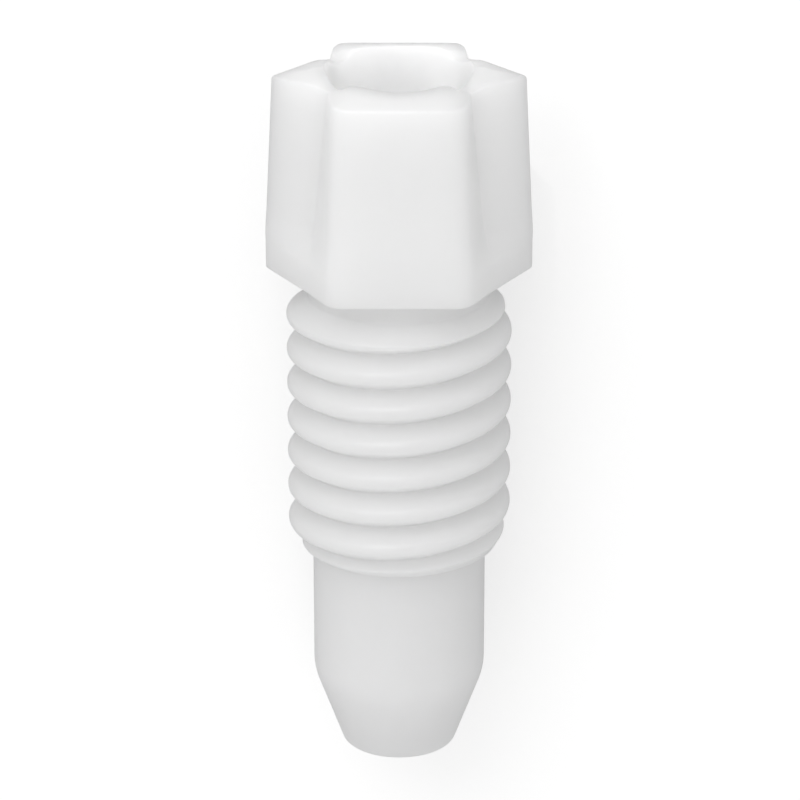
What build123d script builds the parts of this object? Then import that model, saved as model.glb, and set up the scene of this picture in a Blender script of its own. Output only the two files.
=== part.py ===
"""Fingertight tubing fitting for a 10-32 coned port, moulded in one piece of natural polymer.

The fitting is drawn upright, tip down, with z = 0 on the shoulder where the nose meets the thread,
and is then laid down on the back flat of its head, the way it comes to rest on a bench.
All dimensions are in millimetres.
"""
from build123d import *

import os
from math import atan2, ceil, cos, degrees, pi, radians, sin, tan

# --- driving dimensions: nose and bore ---
NOSE_RADIUS = 1.88
NOSE_LENGTH = 3.07
TIP_RADIUS = 1.24
CONE_HALF_ANGLE = 20.0
TIP_EDGE_ROUND = 0.06
NOSE_EDGE_ROUND = 0.25
BORE_RADIUS = 0.825
BORE_MOUTH_CHAMFER = 0.1

# --- driving dimensions: 10-32 thread with rounded crests ---
THREAD_PITCH = 25.4 / 32
THREAD_RADIUS = 2.413
ROOT_RADIUS = 1.93
CREST_ROUND = 0.2
FLANK_ANGLE = 30.0
THREAD_PHASE_Z = 0.13
LEAD_IN_RADIUS = 2.13
LEAD_IN_LENGTH = 0.5
RUN_OUT_START = 5.4
RUN_OUT_END = 5.75

# --- driving dimensions: head ---
HEAD_BASE = 6.29
ACROSS_FLATS = 4.94
SKIRT_HEIGHT = 1.14
GRIP_HEIGHT = 3.14
GRIP_DRAFT = 2.5
CROWN_SLOPE = 12.3
GRIP_EDGE_ROUND = 0.36
SIDE_EDGE_ROUND = 0.06
GROOVE_ROOT_ROUND = 0.12
LOWER_EDGE_ROUND = 0.07
CUP_RADIUS = 1.54
CUP_DEPTH = 2.4
CUP_FLOOR_ANGLE = 45.0

# --- driving dimensions: the four finger grooves ---
# the groove root at the crown, above the skirt and where it runs out: (height, across, towards the flat)
ROOT_AT_CROWN = (10.57, 1.469, 1.155)
ROOT_AT_FLOOR = (7.67, 1.75, 1.026)
ROOT_AT_RUN_OUT = (6.95, 1.92, 1.555)
SIDE_CORNER_TRIM = 0.03
GROOVE_WALL_DRAFT = 17.5
GROOVE_REACH = 4.0
GROOVE_OVERSHOOT = 0.6

# --- driving dimensions: the rounded dip in the cup's rim beside each groove root ---
DIP_RADIUS = 0.42
DIP_DEPTH = 0.25
DIP_START = 1.2
DIP_END = 2.15

# --- derived values ---
cone_length = (NOSE_RADIUS - TIP_RADIUS) / tan(radians(CONE_HALF_ANGLE))
tip_z = -NOSE_LENGTH - cone_length
flat_distance = ACROSS_FLATS / 2
corner_radius = flat_distance / cos(pi / 6)
skirt_top = HEAD_BASE + SKIRT_HEIGHT
grip_top = skirt_top + GRIP_HEIGHT
crown_flat_distance = flat_distance - GRIP_HEIGHT * tan(radians(GRIP_DRAFT))
crown_inner_distance = CUP_RADIUS * cos(pi / 6) - 0.05
crown_height = (crown_flat_distance - crown_inner_distance) * tan(radians(CROWN_SLOPE))
head_top = grip_top + crown_height
cup_floor = head_top - CUP_DEPTH
floor_drop = (CUP_RADIUS - BORE_RADIUS) * tan(radians(CUP_FLOOR_ANGLE))


def corner_at(height):
    """Distance of the head's side corner from the axis at a height, following the draft."""
    drop = max(height - skirt_top, 0) * tan(radians(GRIP_DRAFT))
    return (flat_distance - drop) / cos(pi / 6)


def up_the_grip(edge):
    """True for the long edges that climb from the skirt to the crown."""
    return abs(edge.position_at(1).Z - edge.position_at(0).Z) > 0.8 * GRIP_HEIGHT


def beside_a_flat(edge):
    """True where the front and back flats meet the grooves."""
    return up_the_grip(edge) and abs(edge.center().Y) > crown_flat_distance - 0.1


def groove_root(edge):
    """True for the inner edge of each groove."""
    return up_the_grip(edge) and 1 < abs(edge.center().Y) < ROOT_AT_CROWN[1] + 0.1


def side_corner(edge):
    """True where two grooves meet at the side of the head."""
    return up_the_grip(edge) and abs(edge.center().Y) < 0.1


def lower_outline(edge):
    """True for the outline of the head's underside."""
    in_the_underside = max(abs(edge.position_at(t).Z - HEAD_BASE) for t in (0, 1)) < 0.001
    return in_the_underside and edge.center().length > HEAD_BASE + 0.2 and edge.length > 1


# --- finger grooves: a V with one steep wall, its floor running out on the skirt ---
crown_z, crown_x, crown_y = ROOT_AT_CROWN
floor_z, floor_x, floor_y = ROOT_AT_FLOOR
out_z, out_x, out_y = ROOT_AT_RUN_OUT
up_the_root = Vector(crown_x - floor_x, crown_y - floor_y, crown_z - floor_z)
down_the_run_out = Vector(out_x - floor_x, out_y - floor_y, out_z - floor_z)
floor_angle = atan2(-floor_y, corner_radius - SIDE_CORNER_TRIM - floor_x)
wall_angle = radians(90 + GROOVE_WALL_DRAFT)
floor_end = (floor_x + GROOVE_REACH * cos(floor_angle), floor_y + GROOVE_REACH * sin(floor_angle))
wall_end = (floor_x + GROOVE_REACH * cos(wall_angle), floor_y + GROOVE_REACH * sin(wall_angle))
far_corner = (floor_end[0] + wall_end[0] - floor_x, floor_end[1] + wall_end[1] - floor_y)

with BuildPart() as grooves:
    with BuildSketch(Plane.XY.offset(floor_z)) as groove_section:
        Polygon((floor_x, floor_y), floor_end, far_corner, wall_end, align=None)
    extrude(amount=up_the_root.length + GROOVE_OVERSHOOT, dir=up_the_root)
    extrude(groove_section.sketch, amount=down_the_run_out.length, dir=down_the_run_out)
    mirror(about=Plane.YZ)
    mirror(about=Plane.XZ)

# --- dips: short radial scoops that lower the cup's rim beside each groove root ---
dip_angle = atan2(crown_y, crown_x)
dip_bottom = head_top - DIP_DEPTH
dip_plane = Plane(
    origin=(0, 0, dip_bottom + DIP_RADIUS),
    x_dir=(-sin(dip_angle), cos(dip_angle), 0),
    z_dir=(cos(dip_angle), sin(dip_angle), 0),
)

with BuildPart() as dips:
    with BuildSketch(dip_plane.offset(DIP_START)):
        Circle(DIP_RADIUS)
    extrude(amount=DIP_END - DIP_START)
    mirror(about=Plane.YZ)
    mirror(about=Plane.XZ)

# --- one thread ridge: a rounded crest between 30 degree flanks, swept up the helix ---
crest_centre = THREAD_RADIUS - CREST_ROUND
sunk_radius = ROOT_RADIUS - 0.12
flank_x = crest_centre + CREST_ROUND * sin(radians(FLANK_ANGLE))
flank_z = CREST_ROUND * cos(radians(FLANK_ANGLE))
sunk_half_width = flank_z + (flank_x - sunk_radius) * tan(radians(FLANK_ANGLE))
turns_below = 2
turns = 9
helix_start = THREAD_PHASE_Z - turns_below * THREAD_PITCH

with BuildPart() as ridge:
    with BuildLine() as path:
        Helix(THREAD_PITCH, turns * THREAD_PITCH, THREAD_RADIUS, center=(0, 0, helix_start))
    with BuildSketch(Plane(origin=(0, 0, helix_start), x_dir=(1, 0, 0), z_dir=(0, -1, 0))):
        with BuildLine():
            Polyline(
                (flank_x, flank_z),
                (sunk_radius, sunk_half_width),
                (sunk_radius, -sunk_half_width),
                (flank_x, -flank_z),
            )
            ThreePointArc((flank_x, -flank_z), (THREAD_RADIUS, 0), (flank_x, flank_z))
        make_face()
    sweep(path=path.line, is_frenet=True)

# --- thread envelope: trims the ridge to its lead-in below and its run-out below the head ---
with BuildPart() as thread:
    with BuildSketch(Plane.XZ):
        Polygon(
            (0, 0),
            (LEAD_IN_RADIUS, 0),
            (THREAD_RADIUS + 0.01, LEAD_IN_LENGTH),
            (THREAD_RADIUS + 0.01, RUN_OUT_START),
            (ROOT_RADIUS, RUN_OUT_END),
            (0, RUN_OUT_END),
            align=None,
        )
    revolve()
    add(ridge.part, mode=Mode.INTERSECT)

# --- the fitting, upright ---
with BuildPart() as upright:
    # turned core: conical nose, shoulder and thread root, up into the head
    with BuildSketch(Plane.XZ) as core_section:
        Polygon(
            (0, tip_z),
            (TIP_RADIUS, tip_z),
            (NOSE_RADIUS, -NOSE_LENGTH),
            (NOSE_RADIUS, 0),
            (ROOT_RADIUS, 0),
            (ROOT_RADIUS, HEAD_BASE),
            (0, HEAD_BASE),
            align=None,
        )
        fillet(core_section.vertices().group_by(Axis.Y)[1], NOSE_EDGE_ROUND)
        fillet(core_section.vertices().group_by(Axis.Y)[0].sort_by(Axis.X)[-1], TIP_EDGE_ROUND)
    revolve()
    add(thread.part)

    # six-sided head: straight skirt, drafted grip and a shallow pyramid crown
    with BuildSketch(Plane.XY.offset(HEAD_BASE)):
        RegularPolygon(corner_radius, 6)
    extrude(amount=SKIRT_HEIGHT)
    with BuildSketch(Plane.XY.offset(skirt_top)):
        RegularPolygon(corner_radius, 6)
    extrude(amount=GRIP_HEIGHT, taper=GRIP_DRAFT)
    with BuildSketch(Plane.XY.offset(grip_top)):
        RegularPolygon(corner_at(grip_top), 6)
    extrude(amount=crown_height, taper=90 - CROWN_SLOPE)

    # finger grooves, one each side of the front and back flats, and the head's rounded edges
    add(grooves.part, mode=Mode.SUBTRACT)
    fillet(upright.edges().filter_by(beside_a_flat), GRIP_EDGE_ROUND)
    fillet(upright.edges().filter_by(groove_root), GROOVE_ROOT_ROUND)
    fillet(upright.edges().filter_by(lower_outline), LOWER_EDGE_ROUND)
    fillet(upright.edges().filter_by(side_corner), SIDE_EDGE_ROUND)
    add(dips.part, mode=Mode.SUBTRACT)

    # cup for the tubing and the bore down the axis
    with BuildSketch(Plane.XZ):
        Polygon(
            (0, tip_z),
            (BORE_RADIUS + BORE_MOUTH_CHAMFER, tip_z),
            (BORE_RADIUS, tip_z + BORE_MOUTH_CHAMFER),
            (BORE_RADIUS, cup_floor - floor_drop),
            (CUP_RADIUS, cup_floor),
            (CUP_RADIUS, head_top + 1),
            (0, head_top + 1),
            align=None,
        )
    revolve(mode=Mode.SUBTRACT)

# --- laid down on its back flat, with the lowest full crest of the thread touching the bench too ---
crest_turns = ceil((LEAD_IN_LENGTH - THREAD_PHASE_Z) / THREAD_PITCH - 1 / 4) + 1 / 4
lowest_crest = THREAD_PHASE_Z + crest_turns * THREAD_PITCH
flat_starts = HEAD_BASE + LOWER_EDGE_ROUND
rest_tilt = atan2(flat_distance - THREAD_RADIUS, flat_starts - lowest_crest)
bench_below_axis = flat_distance * cos(rest_tilt) - flat_starts * sin(rest_tilt)
laid_down = upright.part.moved(Location((0, 0, 0), (degrees(rest_tilt) - 90, 0, 0)))
middle = laid_down.bounding_box().center().Y

with BuildPart() as fitting_body:
    add(laid_down.moved(Location((0, -middle, bench_below_axis))))

fitting_body.part.label = "fitting_body"
os.makedirs("parts", exist_ok=True)
export_step(fitting_body.part, "parts/fitting_body.step")
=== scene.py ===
"""One-piece fingertight tubing fitting, lying on a bench under soft studio light.

The fitting is turned as a round blank, closed from the tip round to the bore, and then pressed to
shape: the thread is raised on its shank, and its head is squared to six sides with four finger
grooves and a shallow pyramid crown. All of that is done upright, in millimetres; the finished
mesh is then laid down on the bench in metres.
"""

import logging
from dataclasses import dataclass, field
from enum import Enum
from functools import lru_cache
from math import atan2, cos, exp, hypot, log, pi, radians, sin, sqrt, tan

import bmesh
import bpy
from mathutils import Matrix, Vector


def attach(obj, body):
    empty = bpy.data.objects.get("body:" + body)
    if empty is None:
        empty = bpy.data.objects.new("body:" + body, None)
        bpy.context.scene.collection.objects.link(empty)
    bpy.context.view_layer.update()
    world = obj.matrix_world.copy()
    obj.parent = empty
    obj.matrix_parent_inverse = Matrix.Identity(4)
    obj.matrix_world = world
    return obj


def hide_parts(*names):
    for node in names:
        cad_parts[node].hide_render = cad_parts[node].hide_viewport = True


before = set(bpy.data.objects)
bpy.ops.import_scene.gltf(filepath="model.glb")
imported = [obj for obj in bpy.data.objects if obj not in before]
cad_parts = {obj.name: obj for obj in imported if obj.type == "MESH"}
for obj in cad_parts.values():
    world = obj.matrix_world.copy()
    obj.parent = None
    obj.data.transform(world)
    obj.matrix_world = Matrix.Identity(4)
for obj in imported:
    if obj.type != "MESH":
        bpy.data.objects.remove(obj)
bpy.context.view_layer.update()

bench_log = logging.getLogger("fitting")

MM = 0.001
COLUMNS = 192
QUARTER = COLUMNS // 4
EDGE_SEGMENTS = 5
HEX_HALF = pi / 6
WHITE = (1.0, 1.0, 1.0, 1.0)


class Zone(Enum):
    """What is pressed into a ring of the turned blank."""

    TURNED = 1
    THREAD = 2
    UNDERSIDE = 3
    LOWER_EDGE = 4
    SIDE = 5
    UPPER_EDGE = 6
    CROWN = 7
    RIM = 8
    CUP = 9


@dataclass(frozen=True)
class Ring:
    """One ring of the blank.

    Attributes:
        zone: what is pressed into it.
        radius: its radius on the blank, in millimetres.
        height: its height on the blank, in millimetres.
        step: how far along its zone it lies, from 0 to 1.
    """

    zone: Zone
    radius: float
    height: float
    step: float = 0.0


@dataclass(frozen=True)
class FittingSizes:
    """Sizes of the fitting, in millimetres, with zero height at the shoulder under the thread.

    Angles are in degrees. Names that end in edge or round are lengths or radii of small roundings.

    Attributes:
        bore_mouth: chamfer at the bore's mouth.
        thread_phase: height of the crest on the right-hand side, by the shoulder.
        lead_in_radius: radius where the lead-in chamfer starts.
        lead_in: height over which it grows to the full thread.
        run_out_start: height where the thread starts to fade out.
        run_out_end: height where it has gone.
        head_base: height of the head's underside.
        skirt: height of the straight part of the head.
        grip: height of the drafted part.
        draft: lean of its flats.
        crown_overlap: how far the crown's slope goes on inwards past the cup's wall.
        dip_side_slack: how much of the distance counts on a dip's side towards the side corner;
            less than 1 makes the dip wider there.
    """

    # nose and bore
    nose_radius: float = 1.88
    nose_length: float = 3.07
    tip_radius: float = 1.24
    cone_half_angle: float = 20.0
    tip_edge: float = 0.07
    nose_edge: float = 0.25
    bore_radius: float = 0.825
    bore_mouth: float = 0.1

    # thread
    pitch: float = 25.4 / 32
    thread_radius: float = 2.413
    root_radius: float = 1.93
    crest_round: float = 0.2
    flank_angle: float = 30.0
    thread_phase: float = 0.13
    lead_in_radius: float = 2.13
    lead_in: float = 0.5
    run_out_start: float = 5.4
    run_out_end: float = 5.75

    # head
    head_base: float = 6.29
    across_flats: float = 4.94
    skirt: float = 1.14
    grip: float = 3.14
    draft: float = 2.5
    crown_slope: float = 12.3
    crown_overlap: float = 0.05
    cup_radius: float = 1.54
    cup_depth: float = 2.4

    # rounded edges of the head, and the dips that cross the cup's rim
    side_corner_round: float = 0.12
    front_edge_round: float = 0.5
    root_round: float = 0.12
    lower_edge: float = 0.07
    upper_edge: float = 0.075
    rim_edge: float = 0.07
    dip_depth: float = 0.2
    dip_radius: float = 0.42
    dip_side_slack: float = 0.62

    @property
    def flat(self) -> float:
        """Distance of the flats from the axis at the skirt."""
        return self.across_flats / 2

    @property
    def skirt_top(self) -> float:
        """Height where the drafted grip starts."""
        return self.head_base + self.skirt

    @property
    def grip_top(self) -> float:
        """Height of the crown's outer edge on the flats."""
        return self.skirt_top + self.grip

    @property
    def cone_length(self) -> float:
        """Length of the nose's cone."""
        return (self.nose_radius - self.tip_radius) / tan(radians(self.cone_half_angle))

    @property
    def tip(self) -> float:
        """Height of the tip's face."""
        return -self.nose_length - self.cone_length

    @property
    def crown_flat(self) -> float:
        """Distance of the flats from the axis at the crown's edge."""
        return self.flat - self.grip * tan(radians(self.draft))

    @property
    def head_top(self) -> float:
        """Height of the cup's rim."""
        inner = self.cup_radius * cos(HEX_HALF) - self.crown_overlap
        return self.grip_top + (self.crown_flat - inner) * tan(radians(self.crown_slope))

    @property
    def cup_floor(self) -> float:
        """Height where the cup's wall meets its floor."""
        return self.head_top - self.cup_depth


def soft_max(a: float, b: float, softness: float) -> float:
    """The larger of two values, rounded over where they are close.

    Args:
        a: first value.
        b: second value.
        softness: width of the rounding, in the values' own unit.

    Returns:
        The rounded maximum.
    """
    high, low = (a, b) if a > b else (b, a)
    return high + softness * log(1.0 + exp((low - high) / softness))


def soft_min(a: float, b: float, softness: float) -> float:
    """The smaller of two values, rounded over where they are close.

    Args:
        a: first value.
        b: second value.
        softness: width of the rounding, in the values' own unit.

    Returns:
        The rounded minimum.
    """
    return -soft_max(-a, -b, softness)


def ease(t: float) -> float:
    """A step from 0 to 1 with soft ends.

    Args:
        t: how far along the step; it is held between 0 and 1.

    Returns:
        The eased value.
    """
    t = min(max(t, 0.0), 1.0)
    return t * t * (3 - 2 * t)


def bend(start: Vector, corner: Vector, end: Vector, t: float) -> Vector:
    """A point on the soft bend that cuts a corner.

    Args:
        start: where the bend leaves the first face.
        corner: the sharp corner.
        end: where the bend joins the second face.
        t: how far along the bend, from 0 to 1.

    Returns:
        The point.
    """
    return start * ((1 - t) * (1 - t)) + corner * (2 * t * (1 - t)) + end * (t * t)


def raised(point: Vector, height: float) -> Vector:
    """A point of a section, lifted to a height.

    Args:
        point: the point, of which x and y are used.
        height: the height.

    Returns:
        The point in space.
    """
    return Vector((point.x, point.y, height))


def row_of(zone: Zone, radius: float, height: float, steps: tuple[float, ...]) -> list[Ring]:
    """Rings of one zone that share a place on the blank and are spread out when it is pressed.

    Args:
        zone: the zone.
        radius: their radius on the blank.
        height: their height on the blank.
        steps: how far along the zone each ring lies.

    Returns:
        The rings.
    """
    return [Ring(zone, radius, height, step) for step in steps]


def even_steps(count: int) -> tuple[float, ...]:
    """Evenly spaced steps up to 1, without 0.

    Args:
        count: number of steps.

    Returns:
        The steps.
    """
    return tuple(k / count for k in range(1, count + 1))


@dataclass(frozen=True)
class FingerHead:
    """Six-sided head: straight skirt, drafted grip, four finger grooves and a pyramid crown.

    Attributes:
        sizes: sizes of the fitting.
        groove_crown: a groove's root at the crown, as x, y and height.
        groove_floor: its root above the skirt.
        groove_out: where its root runs out on the skirt.
        wall_draft_crown: lean of the groove's wall at the crown, in degrees.
        wall_draft_floor: its lean above the skirt, in degrees.
        run_out_curve: how much the run-out is bowed.
        mitre_softness: rounding of the crown's mitres, in millimetres.
        dip_softness: rounding of the dips' edges, in millimetres.
        dip_arc: share of a dip's radius that is arc, before it goes on as a straight bank.
        bank_start: height where the bank starts, as a share of the dip's radius.
        bank_slope: slope of the bank.
        stretch_start: height from which the side is stretched to meet the crown.
        underside_start: distance of the underside's first ring from the neck.
        cup_stop: height of the cup's last pressed ring above the cup's floor.
        corner_columns: columns in half the rounded side corner; the next four are the columns in
            the groove's floor, its rounded root, its wall and the rounded front edge.
        skirt_rows: first height above the underside, spacing and number of rings on the skirt.
        run_out_rows: the same where the grooves run out.
        grip_rows: number of spaces between the rings on the grip.
        grip_gap: gap below the first ring on the grip.
        grip_stop: distance of the last of them below the crown's edge.
        top_row: distance of one more ring below the crown's edge.
        underside_steps: where the rings lie on the underside, as shares of its width; the next
            three are the same for the upper edge, the crown and the cup's wall.
    """

    sizes: FittingSizes
    groove_crown: tuple[float, float, float] = (1.469, 1.155, 10.57)
    groove_floor: tuple[float, float, float] = (1.75, 1.026, 7.67)
    groove_out: tuple[float, float, float] = (1.92, 1.555, 6.95)
    wall_draft_crown: float = 4.0
    wall_draft_floor: float = 12.0
    run_out_curve: float = 0.6

    mitre_softness: float = 0.012
    dip_softness: float = 0.02
    dip_arc: float = 0.95
    bank_start: float = 0.69
    bank_slope: float = 3.0
    stretch_start: float = 8.2
    underside_start: float = 0.12
    cup_stop: float = 0.3

    corner_columns: int = 4
    floor_columns: int = 13
    root_columns: int = 6
    wall_columns: int = 6
    edge_columns: int = 10

    skirt_rows: tuple[float, float, int] = (0.25, 0.1, 4)
    run_out_rows: tuple[float, float, int] = (0.62, 0.035, 24)
    grip_rows: int = 14
    grip_gap: float = 0.06
    grip_stop: float = 0.3
    top_row: float = 0.17
    underside_steps: tuple[float, ...] = (0.25, 0.5, 0.75, 0.92, 1.0)
    upper_edge_steps: tuple[float, ...] = even_steps(6)
    crown_steps: tuple[float, ...] = (0.12, 0.3, 0.5, 0.7, 0.88, 1.0)
    cup_steps: tuple[float, ...] = (0.05, 0.15, 0.4, 0.7, 1.0)

    def flat_at(self, height: float) -> float:
        """Distance of the flats from the axis.

        Args:
            height: height of the section.

        Returns:
            The distance, in millimetres.
        """
        rise = max(height - self.sizes.skirt_top, 0.0)
        return self.sizes.flat - rise * tan(radians(self.sizes.draft))

    def wall_way(self, rise: float) -> Vector:
        """Direction of a groove's wall, from the root to the flat.

        Args:
            rise: how far up the groove, from 0 above the skirt to 1 at the crown.

        Returns:
            The unit direction, as x and y.
        """
        change = self.wall_draft_crown - self.wall_draft_floor
        draft = self.wall_draft_floor + change * min(max(rise, 0.0), 1.0)
        return Vector((-sin(radians(draft)), cos(radians(draft))))

    def corners_at(self, height: float) -> tuple[Vector, Vector, Vector, Vector]:
        """The sharp corners of one quarter of the head's section.

        Args:
            height: height of the section, in millimetres.

        Returns:
            Side corner, groove root, front edge and middle of the flat.
        """
        flat = self.flat_at(height)
        floor_x, floor_y, floor_z = self.groove_floor
        crown_x, crown_y, crown_z = self.groove_crown
        rise = (height - floor_z) / (crown_z - floor_z)
        wall = self.wall_way(rise)
        root = Vector((floor_x, floor_y)).lerp(Vector((crown_x, crown_y)), rise)
        side_base = self.sizes.flat / cos(HEX_HALF)
        floor_way = Vector((side_base - floor_x, -floor_y)).normalized()
        side = root + floor_way * (root.y / -floor_way.y)
        edge = root + wall * ((flat - root.y) / wall.y)
        if height < floor_z:
            out_x, out_y, out_z = self.groove_out
            fade = min((floor_z - height) / (floor_z - out_z), 1.0)
            fade = fade * fade * (1 + self.run_out_curve - self.run_out_curve * fade)
            side = Vector((flat / cos(HEX_HALF), 0)).lerp(side, 1 - fade)
            root = root.lerp(Vector((out_x, out_y)), fade)
            edge = edge.lerp(Vector((flat * tan(HEX_HALF), flat)), fade)
        return side, root, edge, Vector((0, flat))

    @staticmethod
    def rounded(before: Vector, corner: Vector, after: Vector, radius: float,
                count: int) -> list[Vector]:
        """Points along a rounded corner.

        Args:
            before: a point on the side that leads to the corner.
            corner: the sharp corner.
            after: a point on the side that leaves it.
            radius: radius of the rounding.
            count: number of segments.

        Returns:
            The points, from one tangent point to the other.
        """
        to_before = (before - corner).normalized()
        to_after = (after - corner).normalized()
        half = 0.5 * to_before.angle(to_after)
        length = max(radius / tan(half), 0.5 * radius)
        start, end = corner + to_before * length, corner + to_after * length
        return [bend(start, corner, end, k / count) for k in range(count + 1)]

    @staticmethod
    def run(start: Vector, end: Vector, count: int) -> list[Vector]:
        """Inner points of a straight stretch, closer together near its ends.

        Args:
            start: one end.
            end: the other end.
            count: number of segments.

        Returns:
            The points, without the ends.
        """
        return [start.lerp(end, 0.5 - 0.5 * cos(pi * k / count)) for k in range(1, count)]

    @lru_cache(maxsize=None)
    def quarter(self, height: float) -> tuple[Vector, ...]:
        """Outline of one quarter of the head.

        Args:
            height: height of the section.

        Returns:
            The points, from the side corner to the flat's middle.
        """
        s = self.sizes
        side, root, edge, middle = self.corners_at(height)
        mirrored_root = Vector((root.x, -root.y))
        corner = self.rounded(mirrored_root, side, root, s.side_corner_round,
                              2 * self.corner_columns)[self.corner_columns:]
        valley = self.rounded(side, root, edge, s.root_round, self.root_columns)
        ridge = self.rounded(root, edge, middle, s.front_edge_round, self.edge_columns)
        points = corner + self.run(corner[-1], valley[0], self.floor_columns) + valley
        points += self.run(valley[-1], ridge[0], self.wall_columns) + ridge
        flat_columns = QUARTER - len(points) + 1
        points += self.run(ridge[-1], middle, flat_columns) + [middle]
        return tuple(points)

    def outline(self, column: int, height: float) -> Vector:
        """A point of the head's outline.

        Args:
            column: column of the blank, counted from the right-hand side corner.
            height: height of the section.

        Returns:
            The point, as x and y.
        """
        turn, step = divmod(column % COLUMNS, QUARTER)
        quarter = self.quarter(round(height, 4))
        point = quarter[step if turn in (0, 2) else QUARTER - step]
        across = -1 if turn in (1, 2) else 1
        along = -1 if turn in (2, 3) else 1
        return Vector((across * point.x, along * point.y))

    def inset(self, column: int, height: float, depth: float) -> Vector:
        """A point of the outline, moved inwards square to it.

        Args:
            column: column of the blank.
            height: height of the section.
            depth: how far inwards.

        Returns:
            The point, as x and y.
        """
        here = self.outline(column, height)
        along = self.outline(column + 1, height) - self.outline(column - 1, height)
        return here + Vector((-along.y, along.x)).normalized() * depth

    def crown(self, point: Vector) -> float:
        """Height of the crown, with its mitres a little rounded and the dips taken out.

        Args:
            point: the point it is wanted over.

        Returns:
            The height.
        """
        s = self.sizes
        x, y = abs(point.x), abs(point.y)
        side = x * cos(HEX_HALF) + y * sin(HEX_HALF)
        other = x * cos(HEX_HALF) - y * sin(HEX_HALF)
        reach = soft_max(soft_max(y, side, self.mitre_softness), other, self.mitre_softness)
        plain = s.grip_top + (s.crown_flat - reach) * tan(radians(s.crown_slope))
        return soft_min(plain, self.dip(x, y), self.dip_softness)

    def dip(self, x: float, y: float) -> float:
        """Height of the rounded dip that crosses the cup's rim towards a groove root.

        Args:
            x: distance from the axis across the head.
            y: distance from the axis towards the flat.

        Returns:
            The height, far above the crown away from the dip.
        """
        s = self.sizes
        root_x, root_y, _ = self.groove_crown
        beside = (x * root_y - y * root_x) / hypot(root_x, root_y)
        beside = beside * s.dip_side_slack if beside > 0 else -beside
        bottom = s.head_top - s.dip_depth
        arc = s.dip_radius * self.dip_arc
        if beside < arc:
            return bottom + s.dip_radius - sqrt(s.dip_radius ** 2 - beside ** 2)
        return bottom + s.dip_radius * self.bank_start + self.bank_slope * (beside - arc)

    def place(self, ring: Ring, column: int) -> Vector:
        """Where a point of the blank goes on the head.

        Args:
            ring: the ring it lies on.
            column: its column.

        Returns:
            The place, in millimetres.
        """
        s = self.sizes
        turn = 2 * pi * column / COLUMNS
        round_way = Vector((cos(turn), sin(turn)))
        if ring.zone is Zone.UNDERSIDE:
            outer = self.inset(column, s.head_base, s.lower_edge)
            return raised((round_way * ring.radius).lerp(outer, ring.step), s.head_base)
        if ring.zone is Zone.LOWER_EDGE:
            inner = self.inset(column, s.head_base, s.lower_edge)
            corner = self.outline(column, s.head_base)
            return bend(raised(inner, s.head_base), raised(corner, s.head_base),
                        raised(corner, s.head_base + s.lower_edge), ring.step)
        top = self.crown(self.outline(column, s.grip_top))
        if ring.zone is Zone.SIDE:
            share = ease((ring.height - self.stretch_start) / (s.grip_top - self.stretch_start))
            height = ring.height + (top - s.grip_top) * share
            return raised(self.outline(column, height), height)
        inner = self.inset(column, top, s.upper_edge)
        if ring.zone is Zone.UPPER_EDGE:
            low = self.outline(column, top - s.upper_edge)
            corner = self.outline(column, top)
            return bend(raised(low, top - s.upper_edge), raised(corner, top),
                        raised(inner, self.crown(inner)), ring.step)
        rim = round_way * (s.cup_radius + s.rim_edge)
        if ring.zone is Zone.CROWN:
            point = inner.lerp(rim, ring.step)
            return raised(point, self.crown(point))
        lip = round_way * s.cup_radius
        lip_height = self.crown(lip)
        if ring.zone is Zone.RIM:
            return bend(raised(rim, self.crown(rim)), raised(lip, lip_height),
                        raised(lip, lip_height - s.rim_edge), ring.step)
        cup_top = lip_height - s.rim_edge
        return raised(lip, cup_top + (s.cup_floor + self.cup_stop - cup_top) * ring.step)

    def side_heights(self) -> list[float]:
        """Heights of the side's rings, closest together where the grooves run out.

        Returns:
            The heights, from above the lower edge to the upper edge.
        """
        s = self.sizes
        heights = [s.head_base + 2 * s.lower_edge]
        for start, spacing, count in (self.skirt_rows, self.run_out_rows):
            heights += [s.head_base + start + spacing * k for k in range(count)]
        first = heights[-1] + self.grip_gap
        last = s.grip_top - self.grip_stop
        heights += [first + (last - first) * k / self.grip_rows for k in range(self.grip_rows + 1)]
        return heights + [s.grip_top - self.top_row, s.grip_top - s.upper_edge]

    def rings(self) -> list[Ring]:
        """Rings of the blank that become the head.

        Returns:
            The rings, from the underside over the crown into the cup.
        """
        s = self.sizes
        edge_steps = even_steps(EDGE_SEGMENTS)
        found = row_of(Zone.UNDERSIDE, s.root_radius + self.underside_start, s.head_base,
                       self.underside_steps)
        found += row_of(Zone.LOWER_EDGE, s.flat, s.head_base, edge_steps)
        found += [Ring(Zone.SIDE, s.flat, height) for height in self.side_heights()]
        found += row_of(Zone.UPPER_EDGE, s.flat, s.grip_top, self.upper_edge_steps)
        found += row_of(Zone.CROWN, s.flat, s.head_top, self.crown_steps)
        found += row_of(Zone.RIM, s.cup_radius, s.head_top, edge_steps)
        return found + row_of(Zone.CUP, s.cup_radius, s.grip_top, self.cup_steps)


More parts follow.
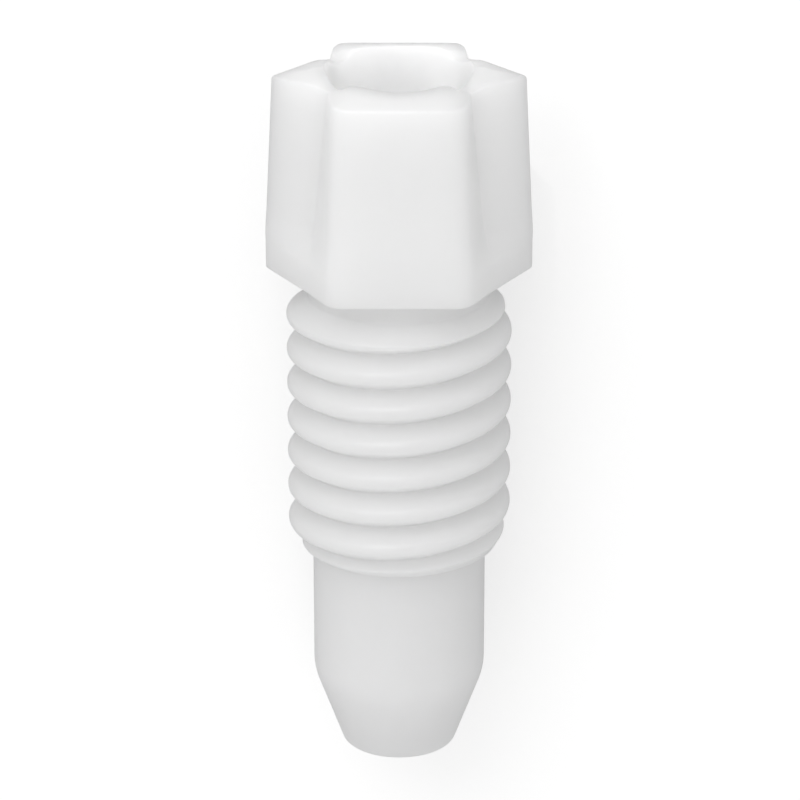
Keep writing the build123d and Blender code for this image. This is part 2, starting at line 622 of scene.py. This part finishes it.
@dataclass(frozen=True)
class ThreadedShank:
    """The outside thread, with rounded crests, a lead-in chamfer and a run-out under the head.

    Attributes:
        sizes: sizes of the fitting.
        row: height of a row of faces, in millimetres.
        past_end: how far the rings go on past the run-out.
        root_softness: rounding where a flank meets the root.
        end_softness: rounding where the thread meets its lead-in and its run-out.
        neck_softness: rounding where the run-out meets the neck.
    """

    sizes: FittingSizes
    row: float = 0.0248
    past_end: float = 0.06
    root_softness: float = 0.02
    end_softness: float = 0.02
    neck_softness: float = 0.004

    def ridge(self, offset: float) -> float:
        """Radius of the thread's flanks and crest, as if they went on below the root.

        Args:
            offset: axial distance from the nearest crest.

        Returns:
            The radius, in millimetres.
        """
        s = self.sizes
        centre = s.thread_radius - s.crest_round
        flank = radians(s.flank_angle)
        reach = s.crest_round * cos(flank)
        if abs(offset) < reach:
            return centre + sqrt(s.crest_round ** 2 - offset ** 2)
        return centre + s.crest_round * sin(flank) - (abs(offset) - reach) / tan(flank)

    def radius(self, turn: float, height: float) -> float:
        """Radius of the shank's surface.

        Args:
            turn: angle about the axis, in radians.
            height: height above the shoulder.

        Returns:
            The radius, in millimetres.
        """
        s = self.sizes
        along = (height - s.thread_phase) / s.pitch - turn / (2 * pi)
        offset = (along - round(along)) * s.pitch
        depth = s.thread_radius - s.root_radius
        left = (s.run_out_end - height) / (s.run_out_end - s.run_out_start)
        run_out = s.root_radius + depth * left
        lead_in = s.lead_in_radius + (s.thread_radius - s.lead_in_radius) * height / s.lead_in
        thread = soft_max(self.ridge(offset), s.root_radius, self.root_softness)
        thread = soft_min(thread, lead_in, self.end_softness)
        thread = soft_min(thread, run_out, self.end_softness)
        return soft_max(thread, s.root_radius, self.neck_softness)

    def place(self, ring: Ring, column: int) -> Vector:
        """Where a point of the blank goes on the shank.

        Args:
            ring: the ring it lies on.
            column: its column.

        Returns:
            The place, in millimetres.
        """
        turn = 2 * pi * column / COLUMNS
        radius = self.radius(turn, ring.height)
        return Vector((radius * cos(turn), radius * sin(turn), ring.height))

    def rings(self) -> list[Ring]:
        """Rings of the blank that carry the thread.

        Returns:
            The rings, from above the shoulder to past the run-out.
        """
        top = self.sizes.run_out_end + self.past_end
        count = round(top / self.row)
        return [Ring(Zone.THREAD, self.sizes.lead_in_radius, top * k / count)
                for k in range(1, count + 1)]


@dataclass(frozen=True)
class ConedNose:
    """The turned nose with its sealing cone, the neck, and the bore that runs through everything.

    Attributes:
        sizes: sizes of the fitting.
        beside_edge: distance of the rings that hold the tip's edges firm.
        on_cone: how far inside the nose's radius the cone's upper ring lies.
        nose_rows: heights of the rings on the nose's cylinder.
        shoulder: length of the rounding at the shoulder.
        neck_past_thread: height of the neck's first ring above the thread's run-out.
        neck_stop: distance of its last ring below the head.
        neck_round: length of the rounding between neck and head.
        under_head: width of the turned strip beside that rounding.
        above_floor: height above the cup's floor of the first turned ring in the cup.
        floor_round: length of the rounding between the cup's wall and floor.
        bore_round: length of the rounding between the cup's floor and the bore.
        mouth_round: length of the rounding at the bore's mouth.
        bore_stop: distance of the bore's rings from its two ends.
        bore_rows: number of spaces between the rings in the bore.
    """

    sizes: FittingSizes
    beside_edge: float = 0.06
    on_cone: float = 0.14
    nose_rows: tuple[float, ...] = (-2.57, -1.2, -0.2)
    shoulder: float = 0.05
    neck_past_thread: float = 0.12
    neck_stop: float = 0.22
    neck_round: float = 0.12
    under_head: float = 0.2
    above_floor: float = 0.2
    floor_round: float = 0.12
    bore_round: float = 0.08
    mouth_round: float = 0.02
    bore_stop: float = 0.15
    bore_rows: int = 8

    @staticmethod
    def turned(corners: list[tuple[float, float, float]], segments: int = 4) -> list[Ring]:
        """Rings of a turned profile with its corners rounded.

        Args:
            corners: radius, height and length of rounding of each corner.
            segments: segments in each rounding.

        Returns:
            The rings.
        """
        found: list[Ring] = []
        befores, afters = corners[:1] + corners[:-1], corners[1:] + corners[-1:]
        for before, here, after in zip(befores, corners, afters):
            corner = Vector(here[:2])
            length = here[2]
            if length <= 0:
                found.append(Ring(Zone.TURNED, corner.x, corner.y))
                continue
            start = corner + (Vector(before[:2]) - corner).normalized() * length
            end = corner + (Vector(after[:2]) - corner).normalized() * length
            for k in range(segments + 1):
                point = bend(start, corner, end, k / segments)
                found.append(Ring(Zone.TURNED, point.x, point.y))
        return found

    def outer_rings(self) -> list[Ring]:
        """Rings of the tip and the nose.

        Returns:
            The rings, from the bore's mouth over the tip and up to the shoulder.
        """
        s = self.sizes
        mouth_radius = s.bore_radius + s.bore_mouth
        steepness = tan(radians(s.cone_half_angle))
        corners = [
            (mouth_radius, s.tip, 0.0),
            (mouth_radius + self.beside_edge, s.tip, 0.0),
            (s.tip_radius - 2 * s.tip_edge, s.tip, 0.0),
            (s.tip_radius, s.tip, s.tip_edge),
            (s.tip_radius + self.beside_edge, s.tip + self.beside_edge / steepness, 0.0),
            (s.nose_radius - self.on_cone, -s.nose_length - self.on_cone / steepness, 0.0),
            (s.nose_radius, -s.nose_length, s.nose_edge),
        ]
        corners += [(s.nose_radius, height, 0.0) for height in self.nose_rows]
        corners += [(s.nose_radius, 0, self.shoulder), (s.lead_in_radius - self.shoulder, 0, 0.0)]
        return self.turned(corners)

    def neck_rings(self) -> list[Ring]:
        """Rings of the plain neck.

        Returns:
            The rings, from the thread to the head's underside.
        """
        s = self.sizes
        corners = [
            (s.root_radius, s.run_out_end + self.neck_past_thread, 0.0),
            (s.root_radius, s.head_base - self.neck_stop, 0.0),
            (s.root_radius, s.head_base, self.neck_round),
            (s.root_radius + self.under_head, s.head_base, 0.0),
        ]
        return self.turned(corners)[:-1]

    def bore_rings(self) -> list[Ring]:
        """Rings of the cup's floor and the bore.

        Returns:
            The rings, from the foot of the cup's wall down to the bore's mouth.
        """
        s = self.sizes
        drop = s.cup_radius - s.bore_radius
        mouth = s.tip + s.bore_mouth
        top = s.cup_floor - drop
        first, last = top - self.bore_stop, mouth + self.bore_stop
        corners = [
            (s.cup_radius, s.cup_floor + self.above_floor, 0.0),
            (s.cup_radius, s.cup_floor, self.floor_round),
            (s.cup_radius - 0.5 * drop, s.cup_floor - 0.5 * drop, 0.0),
            (s.bore_radius, top, self.bore_round),
        ]
        corners += [(s.bore_radius, first + (last - first) * k / self.bore_rows, 0.0)
                    for k in range(self.bore_rows + 1)]
        corners += [
            (s.bore_radius, mouth, self.mouth_round),
            (s.bore_radius + s.bore_mouth, s.tip, 0.0),
        ]
        return self.turned(corners)[:-1]


@dataclass(frozen=True)
class Rest:
    """How the upright fitting lies down: the turn about X, then the shift onto the bench.

    Attributes:
        sizes: sizes of the fitting.
        centre_y: middle of the turned fitting's length, which goes over the origin.
        crest_turns: turns of the thread up to the lowest full crest on the back.
    """

    sizes: FittingSizes
    centre_y: float = 2.9803
    crest_turns: float = 1.25

    def matrix(self) -> Matrix:
        """Upright millimetres to the bench, in metres.

        Returns:
            The matrix that makes the back flat and the lowest full crest touch the bench.
        """
        s = self.sizes
        lowest_crest = s.thread_phase + self.crest_turns * s.pitch
        flat_starts = s.head_base + s.lower_edge
        tilt = atan2(s.flat - s.thread_radius, flat_starts - lowest_crest)
        lift = s.flat * cos(tilt) - flat_starts * sin(tilt)
        shift = Matrix.Translation(Vector((0, -self.centre_y, lift)) * MM)
        return shift @ Matrix.Rotation(tilt - pi / 2, 4, "X") @ Matrix.Scale(MM, 4)


@dataclass(frozen=True)
class Noise:
    """A procedural noise in the object's own coordinates.

    Attributes:
        scale: its cells per metre.
        detail: number of finer octaves.
        roughness: how much the finer octaves count.
    """

    scale: float
    detail: float
    roughness: float = 0.5


@dataclass(frozen=True)
class Relief:
    """A relief too shallow to be modelled.

    Attributes:
        noise: its pattern.
        strength: how much it turns the light.
        depth: its depth, in metres.
    """

    noise: Noise
    strength: float
    depth: float


@dataclass(frozen=True)
class NaturalPolymer:
    """Unfilled milky polymer straight from the mould: satin, and light bleeds through thin walls.

    Attributes:
        name: name of the material.
        colour: main colour.
        cloudy: colour of the cloudier places.
        clouds: pattern of the cloudy places.
        roughness: least and greatest roughness.
        sheen: pattern of the roughness.
        grain: fine relief of the mould's wall.
        sinks: broad, shallow unevenness from cooling.
        ior: index of refraction.
        bleed: how far light bleeds, in metres.
        bleed_tint: how far each colour goes of that.
    """

    name: str = "natural_polymer"
    colour: tuple[float, float, float, float] = (0.915, 0.915, 0.913, 1.0)
    cloudy: tuple[float, float, float, float] = (0.895, 0.896, 0.892, 1.0)
    clouds: Noise = Noise(620.0, 3.0, 0.55)
    roughness: tuple[float, float] = (0.30, 0.42)
    sheen: Noise = Noise(1900.0, 4.0)
    grain: Relief = Relief(Noise(9000.0, 2.0), 0.25, 0.000004)
    sinks: Relief = Relief(Noise(450.0, 1.0), 0.4, 0.00003)
    ior: float = 1.5
    bleed: float = 0.0028
    bleed_tint: tuple[float, float, float] = (1.0, 1.0, 0.98)

    @staticmethod
    def pattern(tree: bpy.types.NodeTree, place: bpy.types.NodeSocket,
                noise: Noise) -> bpy.types.NodeSocket:
        """Adds a noise to a material.

        Args:
            tree: the material's nodes.
            place: the coordinates it lies in.
            noise: the noise.

        Returns:
            The output with its value.
        """
        node = tree.nodes.new("ShaderNodeTexNoise")
        node.inputs["Scale"].default_value = noise.scale
        node.inputs["Detail"].default_value = noise.detail
        node.inputs["Roughness"].default_value = noise.roughness
        tree.links.new(place, node.inputs["Vector"])
        return node.outputs["Fac"]

    def bumped(self, tree: bpy.types.NodeTree, place: bpy.types.NodeSocket,
               relief: Relief) -> bpy.types.Node:
        """Adds a relief to a material.

        Args:
            tree: the material's nodes.
            place: the coordinates it lies in.
            relief: the relief.

        Returns:
            The bump node.
        """
        node = tree.nodes.new("ShaderNodeBump")
        node.inputs["Strength"].default_value = relief.strength
        node.inputs["Distance"].default_value = relief.depth
        tree.links.new(self.pattern(tree, place, relief.noise), node.inputs["Height"])
        return node

    def material(self) -> bpy.types.Material:
        """The finish as a node material.

        Returns:
            The material.
        """
        made = bpy.data.materials.new(self.name)
        made.use_nodes = True
        tree = made.node_tree
        shader = tree.nodes["Principled BSDF"]
        place = tree.nodes.new("ShaderNodeTexCoord").outputs["Object"]

        tint = tree.nodes.new("ShaderNodeMix")
        tint.data_type = "RGBA"
        tint.inputs["A"].default_value = self.colour
        tint.inputs["B"].default_value = self.cloudy
        tree.links.new(self.pattern(tree, place, self.clouds), tint.inputs["Factor"])
        tree.links.new(tint.outputs["Result"], shader.inputs["Base Color"])

        rough = tree.nodes.new("ShaderNodeMapRange")
        rough.inputs["To Min"].default_value = self.roughness[0]
        rough.inputs["To Max"].default_value = self.roughness[1]
        tree.links.new(self.pattern(tree, place, self.sheen), rough.inputs["Value"])
        tree.links.new(rough.outputs["Result"], shader.inputs["Roughness"])

        fine = self.bumped(tree, place, self.grain)
        broad = self.bumped(tree, place, self.sinks)
        tree.links.new(fine.outputs["Normal"], broad.inputs["Normal"])
        tree.links.new(broad.outputs["Normal"], shader.inputs["Normal"])

        shader.inputs["IOR"].default_value = self.ior
        shader.inputs["Subsurface Weight"].default_value = 1.0
        shader.inputs["Subsurface Radius"].default_value = self.bleed_tint
        shader.inputs["Subsurface Scale"].default_value = self.bleed
        return made


@dataclass
class MouldedFitting:
    """The whole fitting: nose, thread and head in one closed skin.

    Attributes:
        sizes: its sizes.
        rest: how it lies on the bench.
        finish: what it is made of.
    """

    sizes: FittingSizes
    rest: Rest
    finish: NaturalPolymer = field(default_factory=NaturalPolymer)

    def rings(self) -> list[Ring]:
        """All rings of the blank.

        Returns:
            The rings, from the bore's mouth up the outside and down the bore.
        """
        nose = ConedNose(self.sizes)
        found = nose.outer_rings() + ThreadedShank(self.sizes).rings() + nose.neck_rings()
        return found + FingerHead(self.sizes).rings() + nose.bore_rings()

    @staticmethod
    def blank(rings: list[Ring]) -> bmesh.types.BMesh:
        """The turned blank: the closed profile of all rings, spun once round the axis.

        Args:
            rings: the rings, in order.

        Returns:
            The blank, each vertex marked with its ring.
        """
        bm = bmesh.new()
        mark = bm.verts.layers.int.new("ring")
        profile = []
        for index, ring in enumerate(rings):
            point = bm.verts.new((ring.radius, 0.0, ring.height))
            point[mark] = index
            profile.append(point)
        edges = [bm.edges.new(pair) for pair in zip(profile, profile[1:] + profile[:1])]
        bmesh.ops.spin(bm, geom=profile + edges, axis=(0, 0, 1), cent=(0, 0, 0), angle=2 * pi,
                       steps=COLUMNS, use_merge=True, use_duplicate=False)
        return bm

    def press(self, bm: bmesh.types.BMesh, rings: list[Ring]) -> None:
        """Presses the thread and the head into the blank.

        Args:
            bm: the blank.
            rings: its rings.
        """
        head, shank = FingerHead(self.sizes), ThreadedShank(self.sizes)
        mark = bm.verts.layers.int["ring"]
        for vertex in bm.verts:
            ring = rings[vertex[mark]]
            if ring.zone is Zone.TURNED:
                continue
            column = round(atan2(vertex.co.y, vertex.co.x) / (2 * pi) * COLUMNS) % COLUMNS
            form = shank if ring.zone is Zone.THREAD else head
            vertex.co = form.place(ring, column)

    def build(self) -> bpy.types.Object:
        """Builds the fitting, lays it down and dresses it.

        Returns:
            The finished object.
        """
        rings = self.rings()
        bm = self.blank(rings)
        self.press(bm, rings)
        bmesh.ops.transform(bm, matrix=self.rest.matrix(), verts=bm.verts)
        bmesh.ops.recalc_face_normals(bm, faces=bm.faces)
        for face in bm.faces:
            face.smooth = True
        mesh = bpy.data.meshes.new("moulded_fitting")
        bm.to_mesh(mesh)
        bm.free()
        mesh.materials.append(self.finish.material())
        fitting = bpy.data.objects.new("moulded_fitting", mesh)
        bpy.context.scene.collection.objects.link(fitting)
        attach(fitting, "root")
        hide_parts("fitting_body")
        bench_log.info("moulded_fitting: %d rings, %d faces", len(rings), len(mesh.polygons))
        return fitting


@dataclass(frozen=True)
class SoftBox:
    """A square lamp that faces the fitting.

    Attributes:
        name: its name.
        place: where it hangs, in metres.
        size: length of its side, in metres.
        watts: its power.
    """

    name: str
    place: tuple[float, float, float]
    size: float
    watts: float

    def hang(self) -> None:
        """Hangs the lamp in the scene."""
        data = bpy.data.lights.new(self.name, "AREA")
        data.shape = "SQUARE"
        data.size = self.size
        data.energy = self.watts
        lamp = bpy.data.objects.new(self.name, data)
        lamp.location = self.place
        lamp.rotation_euler = (-Vector(self.place)).to_track_quat("-Z", "Y").to_euler()
        bpy.context.scene.collection.objects.link(lamp)


@dataclass(frozen=True)
class Snoot:
    """A narrow soft lamp that lights a small round patch.

    Attributes:
        name: its name.
        target: middle of the patch, in metres.
        towards: direction from the patch to the lamp.
        reach: radius of the patch, in metres.
        watts: its power.
        distance: distance of the lamp from the patch, in metres.
        softness: radius of its glowing ball, in metres; it has to stay inside the cone of light.
    """

    name: str
    target: tuple[float, float, float]
    towards: tuple[float, float, float]
    reach: float
    watts: float
    distance: float = 0.1
    softness: float = 0.001

    def hang(self) -> None:
        """Hangs the lamp in the scene."""
        towards = Vector(self.towards)
        data = bpy.data.lights.new(self.name, "SPOT")
        data.energy = self.watts
        data.spot_size = 2 * atan2(self.reach, self.distance)
        data.spot_blend = 1.0
        data.shadow_soft_size = self.softness
        lamp = bpy.data.objects.new(self.name, data)
        lamp.location = Vector(self.target) + towards.normalized() * self.distance
        lamp.rotation_euler = (-towards).to_track_quat("-Z", "Y").to_euler()
        bpy.context.scene.collection.objects.link(lamp)


@dataclass(frozen=True)
class Studio:
    """Bench, lamps and camera.

    Attributes:
        rest: how the fitting lies on the bench.
        look_at_z: height on the upright fitting that the camera looks at, in millimetres.
        aside: how far beside the axis it looks, in millimetres.
        distance: its distance from there, in millimetres.
        elevation: its angle above the upright fitting's cross plane, in degrees.
        pixels: width of the picture the focal length is given for.
        focal_pixels: focal length, in pixels of that picture.
        sensor: width of the sensor, in millimetres.
        ambient: light from all round.
        bench_size: half the side of the bench, in metres.
        bench_colour: colour of the bench.
        bench_roughness: its roughness.
        bench_glow: how much brighter the camera sees it.
        key: the main lamp.
        crown_light: the lamp that reaches into the cup.
    """

    rest: Rest
    look_at_z: float = 3.24
    aside: float = 0.019
    distance: float = 84.24
    elevation: float = 22.7
    pixels: int = 800
    focal_pixels: float = 3900.0
    sensor: float = 36.0
    ambient: float = 0.738
    bench_size: float = 1.0
    bench_colour: tuple[float, float, float, float] = (0.6, 0.6, 0.6, 1.0)
    bench_roughness: float = 0.9
    bench_glow: float = 0.5
    key: SoftBox = SoftBox("key", (-0.07, 0.17, 0.15), 0.16, 0.17)
    crown_light: Snoot = Snoot("crown_light", (0, 0.0077, 0.002), (-0.15, 0.8, 0.6), 0.0028, 0.21)

    def camera(self) -> None:
        """Places the camera and makes it the scene's."""
        place = self.rest.matrix()
        angle = radians(self.elevation)
        back_off, climb = self.distance * cos(angle), self.distance * sin(angle)
        target = place @ Vector((self.aside, 0, self.look_at_z))
        eye = place @ Vector((self.aside, -back_off, self.look_at_z + climb))
        data = bpy.data.cameras.new("camera")
        data.sensor_width = self.sensor
        data.lens = self.sensor * self.focal_pixels / self.pixels
        data.clip_start = MM
        camera = bpy.data.objects.new("camera", data)
        bpy.context.scene.collection.objects.link(camera)
        back = (eye - target).normalized()
        axis = (place.to_3x3() @ Vector((0, 0, 1))).normalized()
        right = axis.cross(back).normalized()
        up = back.cross(right)
        camera.matrix_world = Matrix((
            (right.x, up.x, back.x, eye.x),
            (right.y, up.y, back.y, eye.y),
            (right.z, up.z, back.z, eye.z),
            (0, 0, 0, 1),
        ))
        bpy.context.scene.camera = camera

    def paint(self) -> bpy.types.Material:
        """The bench's paint, which the camera alone sees brighter.

        Returns:
            The material.
        """
        made = bpy.data.materials.new("bench_white")
        made.use_nodes = True
        nodes, links = made.node_tree.nodes, made.node_tree.links
        shader = nodes["Principled BSDF"]
        shader.inputs["Base Color"].default_value = self.bench_colour
        shader.inputs["Roughness"].default_value = self.bench_roughness
        shader.inputs["Specular IOR Level"].default_value = 0.0
        shader.inputs["Emission Color"].default_value = WHITE
        path = nodes.new("ShaderNodeLightPath")
        glow = nodes.new("ShaderNodeMath")
        glow.operation = "MULTIPLY"
        glow.inputs[1].default_value = self.bench_glow
        links.new(path.outputs["Is Camera Ray"], glow.inputs[0])
        links.new(glow.outputs["Value"], shader.inputs["Emission Strength"])
        return made

    def bench(self) -> None:
        """The pale bench top, white to the camera but still taking the fitting's shadow."""
        bm = bmesh.new()
        bmesh.ops.create_grid(bm, x_segments=1, y_segments=1, size=self.bench_size)
        mesh = bpy.data.meshes.new("bench")
        bm.to_mesh(mesh)
        bm.free()
        bench = bpy.data.objects.new("bench", mesh)
        bpy.context.scene.collection.objects.link(bench)
        mesh.materials.append(self.paint())

    def world(self) -> None:
        """Even white light from all round."""
        room = bpy.data.worlds.new("room")
        room.use_nodes = True
        background = room.node_tree.nodes["Background"]
        background.inputs["Color"].default_value = WHITE
        background.inputs["Strength"].default_value = self.ambient
        bpy.context.scene.world = room

    def build(self) -> None:
        """Builds camera, bench and light."""
        self.camera()
        self.bench()
        self.world()
        self.key.hang()
        self.crown_light.hang()
        bpy.context.scene.view_settings.view_transform = "Standard"


def main() -> None:
    """Builds the fitting and the studio round it."""
    logging.basicConfig(level=logging.INFO)
    sizes = FittingSizes()
    rest = Rest(sizes)
    MouldedFitting(sizes, rest).build()
    Studio(rest).build()


if __name__ == "__main__":
    main()
